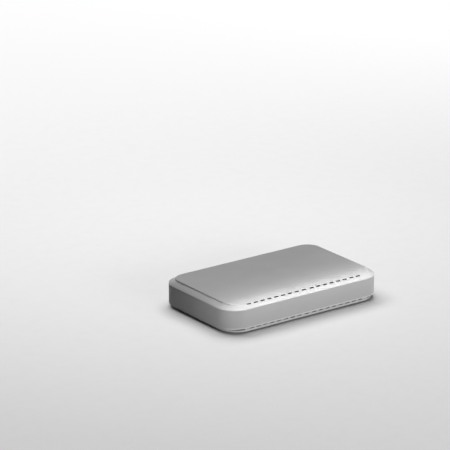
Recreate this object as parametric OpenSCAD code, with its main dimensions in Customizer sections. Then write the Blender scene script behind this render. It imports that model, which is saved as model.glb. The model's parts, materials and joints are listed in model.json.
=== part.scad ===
// Streaming media player.
// A low set-top box on rubber feet: a base tray with a shadow gap, a plain side band and a lid with
// a raised crown and a row of vent slots. Its sockets, power button and reset button are behind.
// X runs to the right, Y to the back and Z up. The origin is on the floor, under the middle.

/* [Casing] */
// Overall width
body_w = 260; // [256:1:280]
// Overall depth
body_d = 160; // [160:1:176]
// Radius of the upright corners
corner_r = 29; // [27:1:31]
// Thickness of the side band
band_t = 2.4; // [2.2:0.1:2.6]
// Height of the rubber feet below the base
foot_h = 1.5; // [1:0.1:2]
// Height of the side band's lower edge
band_low = 5.5; // [5.4:0.1:5.8]
// Rise of that edge over the grille in front
front_rise = 1.5; // [1.3:0.1:1.7]
// Height of the line between the side band and the lid
rim_z = 33.2; // [33:0.1:38]

/* [Lid] */
// Rise of the crown above the rim line
crown_rise = 7; // [6.6:0.1:7.6]
// Width of the sloping shoulder around the crown
shoulder_w = 9.2; // [8.6:0.1:10]
// Rise of the shoulder where it meets the crown
shoulder_rise = 4.7; // [4.4:0.1:5]
// Slope at which the crown rolls down to the shoulder in front
roll_angle = 15; // [12:1:18]
// Rounding along the crown's upper edge
crown_round = 1; // [0.6:0.1:1.2]

/* [Vents] */
// Vent slots in each row
slot_count = 17; // [13:2:17]
// Distance between slots
slot_pitch = 11.4; // [11:0.1:11.6]
// Extra distance on both sides of the middle slot
slot_middle_gap = 1.3; // [0:0.1:2]
// Length of a slot
slot_len = 7.2; // [6:0.1:8]
// Width of a slot in the lid
slot_w = 2.5; // [2.3:0.1:2.5]
// Height of a slot in the base
base_slot_h = 1.4; // [1:0.1:1.6]

/* [Electronics] */
// Height of the main board's underside
board_z = 9; // [9:0.1:9.4]
// Thickness of the main board
board_t = 1.6; // [1.2:0.1:1.6]
// Fins on the heat sink
fin_count = 13; // [9:2:13]
// Travel of the power button
power_travel = 1.2; // [0.8:0.1:1.2]
// Travel of the reset button
reset_travel = 0.3; // [0.2:0.05:0.3]

/* [Hidden] */

// Clearance between parts that lie side by side
gap = 0.3;
// Radial clearance of a shaft or screw in its hole
run = 0.05;
// Overshoot of a cut past the face it goes through
cut = 1;
// Overlap where two shapes of one part grow together
fuse = 0.5;
round_fn = 96;
small_fn = 48;

half_w = body_w / 2;
half_d = body_d / 2;

// Lid: the shoulder is an arc from the rim's edge to the crown's foot
edge_h = 0.5;
chord_angle = atan((shoulder_rise - edge_h) / shoulder_w);
rim_angle = 2 * chord_angle - roll_angle;
shoulder_r = norm([shoulder_w, shoulder_rise - edge_h]) / (2 * sin((rim_angle - roll_angle) / 2));
roll_r = (crown_rise - shoulder_rise) / (1 - cos(roll_angle));
arc_steps = 10;
lid_t = 2;
shoulder_t = 1.5;
lid_lip_t = 1.5;
lid_root = 0.6;
slot_inset = 8;

// Base: heights and insets of its wall, from the underside up
floor_t = 2;
floor_z = foot_h + floor_t;
floor_inset = 6;
chamfer_h = 0.4;
chamfer_w = 0.4;
lip_inset = 1.5;
lip_low = foot_h + 0.7;
lip_top = 4.3;
lip_taper = 3;
front_low = band_low + front_rise;
front_half = 112;
front_end = 129.5;
front_depth = 24;
groove_half = 124;
edge_ease = 0.5;
groove_inset = 4;
spigot_inset = band_t + gap;
spigot_low = band_low + gap;
spigot_top = 11;
tray_inner = 5.6;
grille_half = 104;
grille_inset = 1.6;
base_slot_z = 5.4;
rear_wall_top = 7.7;
rear_wall_half = 100;
vent_len = 24;
vent_w = 3;
vent_pitch = 10;
vent_side = 6;
vent_rows = [-8, 24];
label_half = 35;
label_front = -62;
label_rear = -34;
label_depth = 0.3;
foot_r = 8;
foot_x = half_w - 36;
foot_y = half_d - 22;
foot_seat = 0.6;

// Casing screws, one in each corner
boss_x = half_w - 17;
boss_y = half_d - 17;
boss_r = 3.8;
boss_low = 6;
boss_top = 26;
web_t = 2;
web_reach = 10.2;
base_boss_r = 5;
screw_r = 1.5;
screw_h = 12;
pilot_top = 20;
head_r = 2.8;
head_h = 1.8;
head_seat_z = 4;

// Snap hooks that hold the lid: [place along the side, side], side 0 right, 2 left, 3 front
hook_places = [[-25, 0], [25, 0], [-25, 2], [25, 2], [-60, 3], [60, 3]];
hook_half = 5;
hook_t = 1.3;
hook_inset = 4.1;
hook_nose = 3;
hook_low = 27.2;
catch_inset = 3.9;
catch_half = 6;
catch_low = 28.7;
catch_top = 29.5;
lid_lip_low = 30.8;

// Rear panel, behind a window in the side band
window_half = 91;
window_low = 9.8;
window_top = 28.8;
panel_face = half_d - band_t - gap;
panel_t = 1.4;
panel_back = panel_face - panel_t;
panel_half = 93.5;
panel_low = 8;
panel_top = 30.2;
tab_half = 5;
tab_x = 88.5;
tab_front = 55;

// Main board
board_top = board_z + board_t;
board_half = 98;
board_front = -32;
board_rear = half_d - 5.5;
board_holes = [[-92, 60], [92, 60], [-92, -25], [92, -25], [0, -25]];
board_post_r = 3;
board_screw_r = 1.25;
board_screw_h = 6.4;
board_head_r = 2.3;
board_head_h = 1.4;

// Chips and passive parts: places, sizes and how far apart they stand
memory_size = [9, 13, 1.1];
memory_offset = [20, 8];
flash_pos = [-48, 42];
flash_size = [11.5, 13, 1.1];
phase_rows = [12, 24, 36];
phase_chip_x = 50;
phase_chip_size = [5, 5, 0.9];
inductor_x = 61;
inductor_size = [7, 7, 4];
can_x = 76;
can_rows = [10, 21, 32, 43];
can_r = 4;
can_h = 9;
part_start = -40;
part_pitch = 5;
part_count = 21;
part_rows = [-12, -18];
part_size = [2, 1.2, 0.9];
crystal_pos = [40, 2];
crystal_len = 11;
crystal_w = 4.6;
crystal_h = 3.4;
magnetics_y = 47;
magnetics_size = [16, 9, 6];

// Processor and heat sink
chip_pos = [-5, 20];
chip_w = 23;
chip_h = 2;
pad_t = 1;
sink_w = 64;
sink_d = 52;
sink_base = 2.4;
sink_top = 27;
sink_z = board_top + chip_h + pad_t;
fin_t = 1.2;
pin_offset = [27, 21];
pin_r = 1.5;
pin_head_r = 3.2;
pin_pocket_r = 4.2;

// Sockets: place along the back of each, and where its face stands
socket_face = panel_face + 0.5;
dc_x = 82;
power_x = 66;
ethernet_x = 42;
hdmi_x = 14;
usb_x = [-12, -32];
optical_x = -52;
av_x = -69;
reset_x = -84;

ethernet_size = [16, 21.2, 13.6];
ethernet_cavity = [11.8, 14, 8.2];
ethernet_cavity_z = 12.8;
latch_half = 3.1;
latch_depth = 9;
latch_h = 1.3;
contact_pitch = 1.02;
contact_w = 0.4;
shell_t = 0.4;
hdmi_size = [15, 12, 5.6];
hdmi_z = 11;
hdmi_bevel = 1.8;
tongue_back = 1.5;
usb_size = [13.2, 14, 5.8];
usb_z = 11.2;
optical_w = 10;
optical_depth = 13.5;
optical_z = 15.8;
optical_open = 8.4;
shutter_recess = 0.9;
shutter_t = 0.8;
hinge_r = 0.6;
hinge_z = optical_z + optical_open / 2 - hinge_r - 0.1;
hinge_y = socket_face - shutter_recess - hinge_r;
av_size = [8, 15, 8];
av_z = 14.6;
av_nose_r = 3.3;
av_bore_r = 1.8;
av_depth = 14.5;
dc_size = [9, 14, 11];
dc_z = 16.4;
dc_bore_r = 3.2;
dc_depth = 9.5;
dc_pin_r = 1;
dc_pin_h = 8.7;
power_z = 16.4;
button_r = 3.3;
flange_r = 4.3;
stem_r = 1.5;
stem_in = 11.4;
stem_out = 0.9;
switch_back = 5.9;
switch_size = [8, 9, 10];
switch_bore = 7.2;
reset_z = 14.2;
reset_size = [6, 3.6, 6.4];
plunger_r = 1;
plunger_in = 4.9;
plunger_out = 0.7;
slide = 0.1;

// Wi-Fi module and its antennas
wifi_pos = [-68, -8];
wifi_size = [22, 18, 0.8];
wifi_plug = [6, -7.2];
wifi_plug_r = 1.2;
wifi_plug_h = 2;
shield_size = [18, 12, 1.8];
shield_offset = 1.8;
antenna_size = [0.8, 40, 10];
antenna_z = 19;
lead_r = 0.6;

// Upright front board, behind the front wall
guide_t = 1.2;
guide_half = 3.2;
front_board_y = slot_inset - half_d + guide_t / 2;
front_board_t = 1.2;
front_board_half = 24;
front_board_low = 4;
front_board_top = 20;
post_w = 5;
post_h = 9;
led_half = 1.6;
led_low = 14.2;
led_h = 1.2;
guide_low = 15.6;
guide_foot_half = 6;
guide_foot_top = 19;
guide_rise = 3.4;
eye_half = 3;
eye_low = 1.8;
eye_high = 3;
eye_t = 1.9;
lens_r = 1.5;
lens_z = base_slot_z + 0.2;
ribbon_x = 14;
ribbon_half = 6;
ribbon_t = 0.3;
ribbon_front = front_board_y + front_board_t + 2.6;
ribbon_rear = board_front + 1.5;
ribbon_low = 8.6;
ribbon_high = 11.6;
ribbon_hump = 1.2;
ribbon_plug_h = 2.2;
ribbon_plug_d = 4.5;

// Shapes that several parts share -----------------------------------------------------------------

// Block between two corners
module block(low, high) {
    translate(low) cube(high - low);
}

// Block centred on [x, y] and standing on z
module chip(pos, size, z) {
    translate([pos[0] - size[0] / 2, pos[1] - size[1] / 2, z]) cube(size);
}

// Upright cylinder between two heights
module post(pos, r, z0, z1) {
    translate([pos[0], pos[1], z0]) cylinder(r = r, h = z1 - z0, $fn = small_fn);
}

// Cylinder along Y between two places
module rod_y(x, z, r, y0, y1) {
    translate([x, y1, z]) rotate([90, 0, 0]) cylinder(r = r, h = y1 - y0, $fn = small_fn);
}

// Rectangle with round corners, centred
module rounded_rect(w, d, r) {
    square([w - 2 * r, d], center = true);
    square([w, d - 2 * r], center = true);
    for (x = [-1, 1], y = [-1, 1]) {
        translate([x * (w / 2 - r), y * (d / 2 - r)]) circle(r = r, $fn = round_fn);
    }
}

// Slab with the body's outline, inset all round
module slab(inset, z0, z1) {
    translate([0, 0, z0])
        linear_extrude(z1 - z0)
            rounded_rect(body_w - 2 * inset, body_d - 2 * inset, corner_r - inset);
}

// Solid whose outside follows a profile of [inset, height] points all round the body, listed from
// the lowest point to the highest
module swept(profile) {
    z_low = profile[0][1];
    z_high = profile[len(profile) - 1][1];
    outline = concat([for (p = profile) [corner_r - p[0], p[1]]], [[0, z_high], [0, z_low]]);
    for (k = [0:3]) {
        across = (k % 2 == 0 ? half_w : half_d) - corner_r;
        along = (k % 2 == 0 ? half_d : half_w) - corner_r;
        rotate([0, 0, 90 * k]) {
            translate([across, along, 0])
                rotate_extrude(angle = 90, $fn = round_fn) polygon(outline);
            translate([across, 0, 0])
                rotate([90, 0, 0]) linear_extrude(2 * along, center = true) polygon(outline);
        }
    }
    block([corner_r - half_w, corner_r - half_d, z_low], [half_w - corner_r, half_d - corner_r, z_high]);
}

// Slot outline with round ends, along X
module slot_outline(length, width) {
    square([length - width, width], center = true);
    for (x = [-1, 1]) {
        translate([x * (length - width) / 2, 0]) circle(d = width, $fn = 24);
    }
}

// Place of a vent slot along the front, counted from the middle slot
function slot_x(i) = i * slot_pitch + sign(i) * slot_middle_gap;

slot_side = (slot_count - 1) / 2;

// Four corners of the casing
module at_corners(x, y) {
    for (sx = [-1, 1], sy = [-1, 1]) {
        translate([sx * x, sy * y, 0]) children();
    }
}

// Points [inset, rise] along the shoulder, from the rim inwards
shoulder_arc = [
    for (i = [0:arc_steps])
        let (a = rim_angle + (roll_angle - rim_angle) * i / arc_steps)
        [shoulder_r * (sin(rim_angle) - sin(a)), edge_h + shoulder_r * (cos(a) - cos(rim_angle))]
];

// Points [inset, rise] along the crown's roll, from the shoulder inwards
roll_arc = [
    for (i = [0:arc_steps])
        let (a = roll_angle * (1 - i / arc_steps))
        [shoulder_w + roll_r * (sin(roll_angle) - sin(a)), crown_rise - roll_r * (1 - cos(a))]
];

// Points [inset, rise] up the crown's side and over its rounded edge
crown_edge = [
    for (i = [0:6])
        let (a = 15 * i)
        [shoulder_w + crown_round * (1 - cos(a)), crown_rise - crown_round * (1 - sin(a))]
];

// Casing ------------------------------------------------------------------------------------------

module lid_outside() {
    swept(concat([[0, rim_z]], [for (p = shoulder_arc) [p[0], rim_z + p[1]]]));
    intersection() {
        swept(concat([[shoulder_w, rim_z + edge_h]], [for (p = crown_edge) [p[0], rim_z + p[1]]]));
        rotate([90, 0, 90])
            linear_extrude(body_w, center = true)
                polygon(concat(
                    [for (p = roll_arc) [p[0] - half_d, rim_z + p[1]]],
                    [[half_d, rim_z + crown_rise], [half_d, rim_z], [shoulder_w - half_d, rim_z]]
                ));
    }
}

module lid_hook(place, side) {
    reach = side == 3 ? half_d : half_w;
    rotate([0, 0, side * 90]) {
        block(
            [reach - hook_inset - hook_t, place - hook_half, hook_low],
            [reach - hook_inset, place + hook_half, rim_z + 0.8]
        );
        block(
            [reach - hook_inset - 0.1, place - hook_half, hook_low],
            [reach - hook_nose, place + hook_half, catch_low - gap]
        );
    }
}

module top_cover() {
    color([0.80, 0.80, 0.81]) {
        difference() {
            lid_outside();
            swept([
                [band_t, rim_z - cut],
                [band_t, rim_z + lid_root],
                [shoulder_w + gap, rim_z + shoulder_rise - shoulder_t],
                [shoulder_w + 3.8, rim_z + crown_rise - lid_t]
            ]);
            for (i = [-slot_side:slot_side]) {
                translate([slot_x(i), slot_inset - half_d, rim_z])
                    linear_extrude(crown_rise) slot_outline(slot_len, slot_w);
            }
        }
        difference() {
            slab(spigot_inset, lid_lip_low, rim_z + lid_root + gap);
            slab(spigot_inset + lid_lip_t, lid_lip_low - cut, rim_z + cut);
        }
        for (h = hook_places) {
            lid_hook(h[0], h[1]);
        }
    }
}

module band_boss() {
    post([boss_x, boss_y], boss_r, boss_low, boss_top);
    translate([boss_x, boss_y, spigot_top + 1])
        rotate([0, 0, 45])
            block([boss_r - web_t, -web_t / 2, 0], [web_reach, web_t / 2, boss_top - spigot_top - 1]);
}

// What is cut from the side band's lower edge in front, running out round the corners
module front_cut() {
    translate([0, front_depth - half_d, 0])
        rotate([90, 0, 0])
            linear_extrude(front_depth + cut)
                polygon([
                    [-front_end, band_low - cut], [-front_end, band_low], [-front_half, front_low],
                    [front_half, front_low], [front_end, band_low], [front_end, band_low - cut]
                ]);
}

module side_band() {
    color([0.66, 0.66, 0.67])
        difference() {
            union() {
                difference() {
                    swept([
                        [edge_ease, band_low], [0, band_low + edge_ease],
                        [0, rim_z - gap - 0.3], [0.3, rim_z - gap]
                    ]);
                    slab(band_t, band_low - cut, rim_z + cut);
                    front_cut();
                    block([-window_half, half_d - 4, window_low], [window_half, half_d + cut, window_top]);
                }
                for (h = hook_places) {
                    reach = h[1] == 3 ? half_d : half_w;
                    rotate([0, 0, h[1] * 90])
                        block(
                            [reach - catch_inset, h[0] - catch_half, catch_low],
                            [reach - band_t + fuse, h[0] + catch_half, catch_top]
                        );
                }
                for (sx = [0, 1], sy = [0, 1]) {
                    mirror([sx, 0, 0]) mirror([0, sy, 0]) band_boss();
                }
            }
            at_corners(boss_x, boss_y) post([0, 0], screw_r + run, boss_low - cut, pilot_top);
        }
}

module lip_outline() {
    swept([
        [floor_inset, foot_h], [lip_inset + chamfer_w, foot_h + chamfer_h],
        [lip_inset, lip_low], [lip_inset, lip_top + cut]
    ]);
}

// Lip in front, its ends running into the wall round the corners
module base_lip() {
    intersection() {
        block([-half_w, -half_d, 0], [half_w, corner_r - half_d, lip_top]);
        translate([-lip_taper, 0, 0]) lip_outline();
        translate([lip_taper, 0, 0]) lip_outline();
    }
}

module base_walls() {
    difference() {
        union() {
            swept([
                [floor_inset, foot_h], [groove_inset + chamfer_w, foot_h + chamfer_h],
                [groove_inset, lip_low], [groove_inset, spigot_low],
                [spigot_inset, spigot_low], [spigot_inset, spigot_top]
            ]);
            base_lip();
        }
        slab(tray_inner, floor_z, spigot_top + cut);
        difference() {
            block(
                [-groove_half, -half_d - cut, lip_top],
                [groove_half, front_depth - half_d, front_low + gap]
            );
            slab(groove_inset, lip_top - cut, front_low + gap + cut);
        }
        block([-rear_wall_half, half_d - 8, rear_wall_top], [rear_wall_half, half_d, spigot_top + cut]);
    }
}

module floor_vents() {
    for (i = [-vent_side:vent_side], y = vent_rows) {
        translate([vent_pitch * i, y, foot_h - cut])
            linear_extrude(floor_t + 2 * cut) rotate([0, 0, 90]) slot_outline(vent_len, vent_w);
    }
}

module base_tray() {
    color([0.72, 0.72, 0.73])
        difference() {
            union() {
                base_walls();
                block(
                    [-grille_half, grille_inset - half_d, lip_top - fuse],
                    [grille_half, groove_inset + fuse - half_d, front_low - gap]
                );
                at_corners(boss_x, boss_y) post([0, 0], base_boss_r, floor_z - fuse, boss_low);
                for (h = board_holes) {
                    post(h, board_post_r, floor_z - fuse, h[1] > 0 ? panel_low : board_z);
                }
                for (side = [-1, 1]) {
                    chip(
                        [side * (front_board_half + fuse), front_board_y + front_board_t / 2],
                        [post_w, post_w, post_h], floor_z - fuse
                    );
                }
            }
            floor_vents();
            for (i = [-slot_side:slot_side]) {
                translate([slot_x(i), tray_inner + cut - half_d, base_slot_z])
                    rotate([90, 0, 0])
                        linear_extrude(tray_inner + 2 * cut) slot_outline(slot_len, base_slot_h);
            }
            at_corners(boss_x, boss_y) {
                post([0, 0], screw_r + 0.2, foot_h - cut, boss_low + cut);
                post([0, 0], head_r + 0.4, foot_h - cut, head_seat_z);
            }
            at_corners(foot_x, foot_y) post([0, 0], foot_r + 0.2, foot_h - cut, foot_h + foot_seat);
            for (h = board_holes) {
                post(h, board_screw_r + run, floor_z + fuse, board_z + cut);
            }
            block(
                [-front_board_half - run, front_board_y - run, front_board_low - run],
                [front_board_half + run, front_board_y + front_board_t + run, front_board_top]
            );
            block([-label_half, label_front, foot_h - cut], [label_half, label_rear, foot_h + label_depth]);
        }
}

module rubber_feet() {
    color([0.16, 0.16, 0.17])
        at_corners(foot_x, foot_y)
            rotate_extrude($fn = small_fn)
                polygon([
                    [0, 0], [foot_r - 1, 0], [foot_r - 0.3, 0.3], [foot_r, 0.9],
                    [foot_r, foot_h + foot_seat], [0, foot_h + foot_seat]
                ]);
}

// Pan-head screw standing upright, head at the bottom or the top
module screw(shank_r, shank_h, cap_r, cap_h) {
    difference() {
        rotate_extrude($fn = small_fn)
            polygon([
                [0, 0], [cap_r * 0.7, 0], [cap_r * 0.92, cap_h * 0.25], [cap_r, cap_h * 0.6], [cap_r, cap_h],
                [shank_r, cap_h], [shank_r, cap_h + shank_h - 0.6], [shank_r - 0.5, cap_h + shank_h],
                [0, cap_h + shank_h]
            ]);
        for (a = [0, 90]) {
            rotate([0, 0, a])
                block([-cap_r * 0.55, -cap_r * 0.11, -cut], [cap_r * 0.55, cap_r * 0.11, cap_h * 0.55]);
        }
    }
}

module case_screws() {
    color([0.55, 0.55, 0.57])
        at_corners(boss_x, boss_y)
            translate([0, 0, head_seat_z - head_h]) screw(screw_r, screw_h, head_r, head_h);
}

// Rear panel --------------------------------------------------------------------------------------

// Hole in the rear panel around a socket
module panel_hole(x, z0, w, h) {
    block([x - w / 2 - gap, panel_back - cut, z0 - gap], [x + w / 2 + gap, panel_face + cut, z0 + h + gap]);
}

module rear_panel() {
    color([0.42, 0.43, 0.45])
        difference() {
            union() {
                block([-panel_half, panel_back, panel_low], [panel_half, panel_face, panel_top]);
                for (side = [-1, 1]) {
                    block(
                        [side * tab_x - tab_half, tab_front, panel_low],
                        [side * tab_x + tab_half, panel_face, board_z]
                    );
                }
            }
            for (h = board_holes) {
                post(h, board_screw_r + gap, panel_low - cut, board_z + cut);
            }
            panel_hole(ethernet_x, board_top, ethernet_size[0], ethernet_size[2]);
            panel_hole(hdmi_x, hdmi_z, hdmi_size[0], hdmi_size[2]);
            for (x = usb_x) {
                panel_hole(x, usb_z, usb_size[0], usb_size[2]);
            }
            panel_hole(optical_x, board_top, optical_w, optical_w + 0.4);
            panel_hole(dc_x, board_top, dc_size[0], dc_size[2]);
            rod_y(av_x, av_z, av_nose_r + gap, panel_back - cut, panel_face + cut);
            rod_y(power_x, power_z, button_r + gap, panel_back - cut, panel_face + cut);
            rod_y(reset_x, reset_z, plunger_r + slide, panel_back - cut, panel_face + cut);
        }
}

// Boards and what is on them ----------------------------------------------------------------------

module main_board() {
    color([0.05, 0.32, 0.18])
        difference() {
            block([-board_half, board_front, board_z], [board_half, board_rear, board_top]);
            for (h = board_holes) {
                post(h, board_screw_r + 0.2, board_z - cut, board_top + cut);
            }
            for (s = [-1, 1]) {
                pin = chip_pos + [s * pin_offset[0], -s * pin_offset[1]];
                post(pin, pin_r + 0.2, board_z - cut, board_top + cut);
            }
        }
}

module board_screws() {
    color([0.72, 0.72, 0.74])
        for (h = board_holes) {
            translate([h[0], h[1], board_top + board_head_h])
                mirror([0, 0, 1]) screw(board_screw_r, board_screw_h, board_head_r, board_head_h);
        }
}

module processor() {
    color([0.10, 0.10, 0.11]) {
        chip(chip_pos, [chip_w, chip_w, 0.8], board_top);
        chip(chip_pos, [chip_w - 3, chip_w - 3, chip_h], board_top);
    }
}

module thermal_pad() {
    color([0.62, 0.66, 0.72]) chip(chip_pos, [chip_w - 4, chip_w - 4, pad_t], board_top + chip_h);
}

module heat_sink() {
    pitch = (sink_w - fin_t) / (fin_count - 1);
    color([0.24, 0.24, 0.26])
        difference() {
            union() {
                chip(chip_pos, [sink_w, sink_d, sink_base], sink_z);
                for (i = [0:fin_count - 1]) {
                    chip(
                        chip_pos + [(fin_t - sink_w) / 2 + i * pitch, 0],
                        [fin_t, sink_d, sink_top - sink_z], sink_z
                    );
                }
            }
            for (s = [-1, 1]) {
                pin = chip_pos + [s * pin_offset[0], -s * pin_offset[1]];
                post(pin, pin_pocket_r, sink_z + sink_base, sink_top + cut);
                post(pin, pin_r + 0.2, sink_z - cut, sink_z + sink_base + cut);
            }
        }
}

module heat_sink_pins() {
    seat = sink_z + sink_base;
    color([0.90, 0.88, 0.80])
        for (s = [-1, 1]) {
            translate([chip_pos[0] + s * pin_offset[0], chip_pos[1] - s * pin_offset[1], 0])
                rotate_extrude($fn = small_fn)
                    polygon([
                        [0, board_z - 2], [pin_r - 0.5, board_z - 2], [pin_r, board_z - 0.8], [pin_r, seat],
                        [pin_head_r, seat], [pin_head_r, seat + 1.2], [pin_head_r - 0.6, seat + 1.8],
                        [0, seat + 1.8]
                    ]);
        }
}

module memory_chips() {
    color([0.09, 0.09, 0.10])
        for (sx = [-1, 1], sy = [-1, 1]) {
            chip(chip_pos + [sx * memory_offset[0], sy * memory_offset[1]], memory_size, board_top);
        }
}

module flash_chip() {
    color([0.12, 0.12, 0.13]) chip(flash_pos, flash_size, board_top);
}

module power_chips() {
    color([0.10, 0.10, 0.11])
        for (y = phase_rows) {
            chip([phase_chip_x, y], phase_chip_size, board_top);
        }
}

module inductors() {
    color([0.30, 0.30, 0.32])
        for (y = phase_rows) {
            chip([inductor_x, y], inductor_size, board_top);
        }
}

module capacitors() {
    color([0.62, 0.63, 0.66])
        for (y = can_rows) {
            translate([can_x, y, board_top])
                rotate_extrude($fn = small_fn)
                    polygon([
                        [0, 0], [can_r, 0], [can_r, 1.6], [can_r - 0.3, 2], [can_r, 2.4],
                        [can_r, can_h - 0.3], [can_r - 0.4, can_h], [0, can_h]
                    ]);
        }
}

module chip_parts() {
    color([0.55, 0.48, 0.38])
        for (i = [0:part_count - 1], y = part_rows) {
            chip([part_start + part_pitch * i, y], part_size, board_top);
        }
}

module crystal() {
    color([0.80, 0.80, 0.82])
        translate([crystal_pos[0], crystal_pos[1], board_top])
            linear_extrude(crystal_h) slot_outline(crystal_len, crystal_w);
}

module ethernet_magnetics() {
    color([0.11, 0.11, 0.12]) chip([ethernet_x, magnetics_y], magnetics_size, board_top);
}

// Sockets -----------------------------------------------------------------------------------------

module ethernet_jack() {
    inner_low = ethernet_cavity_z;
    color([0.70, 0.71, 0.73])
        difference() {
            block(
                [ethernet_x - ethernet_size[0] / 2, socket_face - ethernet_size[1], board_top],
                [ethernet_x + ethernet_size[0] / 2, socket_face, board_top + ethernet_size[2]]
            );
            block(
                [ethernet_x - ethernet_cavity[0] / 2, socket_face - ethernet_cavity[1], inner_low],
                [ethernet_x + ethernet_cavity[0] / 2, socket_face + cut, inner_low + ethernet_cavity[2]]
            );
            block(
                [ethernet_x - latch_half, socket_face - latch_depth, inner_low - latch_h],
                [ethernet_x + latch_half, socket_face + cut, inner_low + cut]
            );
        }
}

module ethernet_contacts() {
    top = ethernet_cavity_z + ethernet_cavity[2];
    color([0.85, 0.68, 0.32])
        for (i = [0:7]) {
            x = ethernet_x + contact_pitch * (i - 3.5);
            translate([x - contact_w / 2, 0, 0])
                rotate([90, 0, 90])
                    linear_extrude(contact_w)
                        polygon([
                            [socket_face - 3, top], [socket_face - 2.4, top],
                            [socket_face - ethernet_cavity[1] + 2, top - 1.7],
                            [socket_face - ethernet_cavity[1] + 1.6, top - 1.5]
                        ]);
        }
}

// Outline of an HDMI socket, wide at the top
function hdmi_outline(w, h, bevel) = [
    [-w / 2, h], [-w / 2, bevel + 0.6], [-w / 2 + 0.6, bevel], [-w / 2 + bevel, 0],
    [w / 2 - bevel, 0], [w / 2 - 0.6, bevel], [w / 2, bevel + 0.6], [w / 2, h]
];

module hdmi_shell() {
    inner_w = hdmi_size[0] - 2 * shell_t;
    inner_h = hdmi_size[2] - 2 * shell_t;
    color([0.75, 0.75, 0.76])
        difference() {
            translate([hdmi_x, socket_face, hdmi_z])
                rotate([90, 0, 0])
                    linear_extrude(hdmi_size[1])
                        polygon(hdmi_outline(hdmi_size[0], hdmi_size[2], hdmi_bevel));
            translate([hdmi_x, socket_face + cut, hdmi_z + shell_t])
                rotate([90, 0, 0])
                    linear_extrude(hdmi_size[1] - tongue_back + cut)
                        polygon(hdmi_outline(inner_w, inner_h, hdmi_bevel - 0.2));
        }
}

module hdmi_tongue() {
    color([0.08, 0.08, 0.09])
        block(
            [hdmi_x - 5.9, socket_face - hdmi_size[1] + tongue_back, hdmi_z + 2.6],
            [hdmi_x + 5.9, socket_face - 1.4, hdmi_z + 3.5]
        );
}

module usb_shells() {
    color([0.75, 0.75, 0.76])
        for (x = usb_x) {
            difference() {
                block(
                    [x - usb_size[0] / 2, socket_face - usb_size[1], usb_z],
                    [x + usb_size[0] / 2, socket_face, usb_z + usb_size[2]]
                );
                block(
                    [x - usb_size[0] / 2 + shell_t, socket_face - usb_size[1] + tongue_back, usb_z + shell_t],
                    [x + usb_size[0] / 2 - shell_t, socket_face + cut, usb_z + usb_size[2] - shell_t]
                );
            }
        }
}

module usb_tongues() {
    color([0.08, 0.08, 0.09])
        for (x = usb_x) {
            block(
                [x - 5.5, socket_face - usb_size[1] + tongue_back, usb_z + 2.9],
                [x + 5.5, socket_face - 1.5, usb_z + 4.7]
            );
        }
}

module av_jack() {
    color([0.12, 0.12, 0.13])
        difference() {
            union() {
                block(
                    [av_x - av_size[0] / 2, panel_back - av_size[1] + 1, board_top],
                    [av_x + av_size[0] / 2, panel_back - gap, board_top + av_size[2]]
                );
                rod_y(av_x, av_z, av_nose_r, panel_back - cut, socket_face);
            }
            rod_y(av_x, av_z, av_bore_r, socket_face - av_depth, socket_face + cut);
        }
}

module optical_jack() {
    floor_y = socket_face - optical_depth;
    half = optical_open / 2;
    color([0.10, 0.10, 0.11])
        difference() {
            block(
                [optical_x - optical_w / 2, floor_y, board_top],
                [optical_x + optical_w / 2, socket_face, board_top + optical_w + 0.4]
            );
            difference() {
                block(
                    [optical_x - half, floor_y + 2.5, optical_z - half],
                    [optical_x + half, socket_face + cut, optical_z + half]
                );
                rod_y(optical_x, optical_z, 1.3, floor_y, floor_y + 4);
            }
            translate([optical_x, hinge_y, hinge_z])
                rotate([0, 90, 0])
                    cylinder(r = hinge_r + run, h = optical_open + 0.9, center = true, $fn = small_fn);
        }
}

module optical_shutter() {
    half = optical_open / 2;
    color([0.18, 0.18, 0.19]) {
        block(
            [optical_x - half + 0.2, hinge_y - hinge_r + 0.2, optical_z - half + gap],
            [optical_x + half - 0.2, hinge_y - hinge_r + 0.2 + shutter_t, hinge_z]
        );
        translate([optical_x, hinge_y, hinge_z])
            rotate([0, 90, 0]) cylinder(r = hinge_r, h = optical_open + 0.7, center = true, $fn = small_fn);
    }
}

module dc_jack() {
    color([0.09, 0.09, 0.10])
        difference() {
            block(
                [dc_x - dc_size[0] / 2, socket_face - dc_size[1], board_top],
                [dc_x + dc_size[0] / 2, socket_face, board_top + dc_size[2]]
            );
            rod_y(dc_x, dc_z, dc_bore_r, socket_face - dc_depth, socket_face + cut);
        }
}

module dc_jack_pin() {
    color([0.80, 0.80, 0.82])
        translate([dc_x, socket_face - dc_depth, dc_z])
            rotate([-90, 0, 0])
                rotate_extrude($fn = small_fn)
                    polygon([
                        [0, 0], [dc_pin_r, 0], [dc_pin_r, dc_pin_h - 0.6], [dc_pin_r - 0.5, dc_pin_h],
                        [0, dc_pin_h]
                    ]);
}

module power_switch() {
    face = panel_back - switch_back;
    color([0.14, 0.14, 0.15])
        difference() {
            chip([power_x, face - switch_size[1] / 2], switch_size, board_top);
            rod_y(power_x, power_z, stem_r + slide, face - switch_bore, face + cut);
        }
}

module power_stem() {
    color([0.85, 0.85, 0.83])
        rod_y(power_x, power_z, stem_r, panel_back - stem_in, panel_back - stem_out);
}

module power_button() {
    tail = panel_back - switch_back + power_travel + gap;
    color([0.78, 0.78, 0.79])
        difference() {
            translate([power_x, tail, power_z])
                rotate([-90, 0, 0])
                    rotate_extrude($fn = small_fn)
                        polygon([
                            [0, 0], [button_r, 0], [button_r, 2.6], [flange_r, 2.6], [flange_r, 4.1],
                            [button_r, 4.1], [button_r, 6.9], [button_r - 0.4, 7.3], [0, 7.3]
                        ]);
            rod_y(power_x, power_z, stem_r + run, tail - cut, panel_back - stem_out + 0.1);
        }
}

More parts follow.
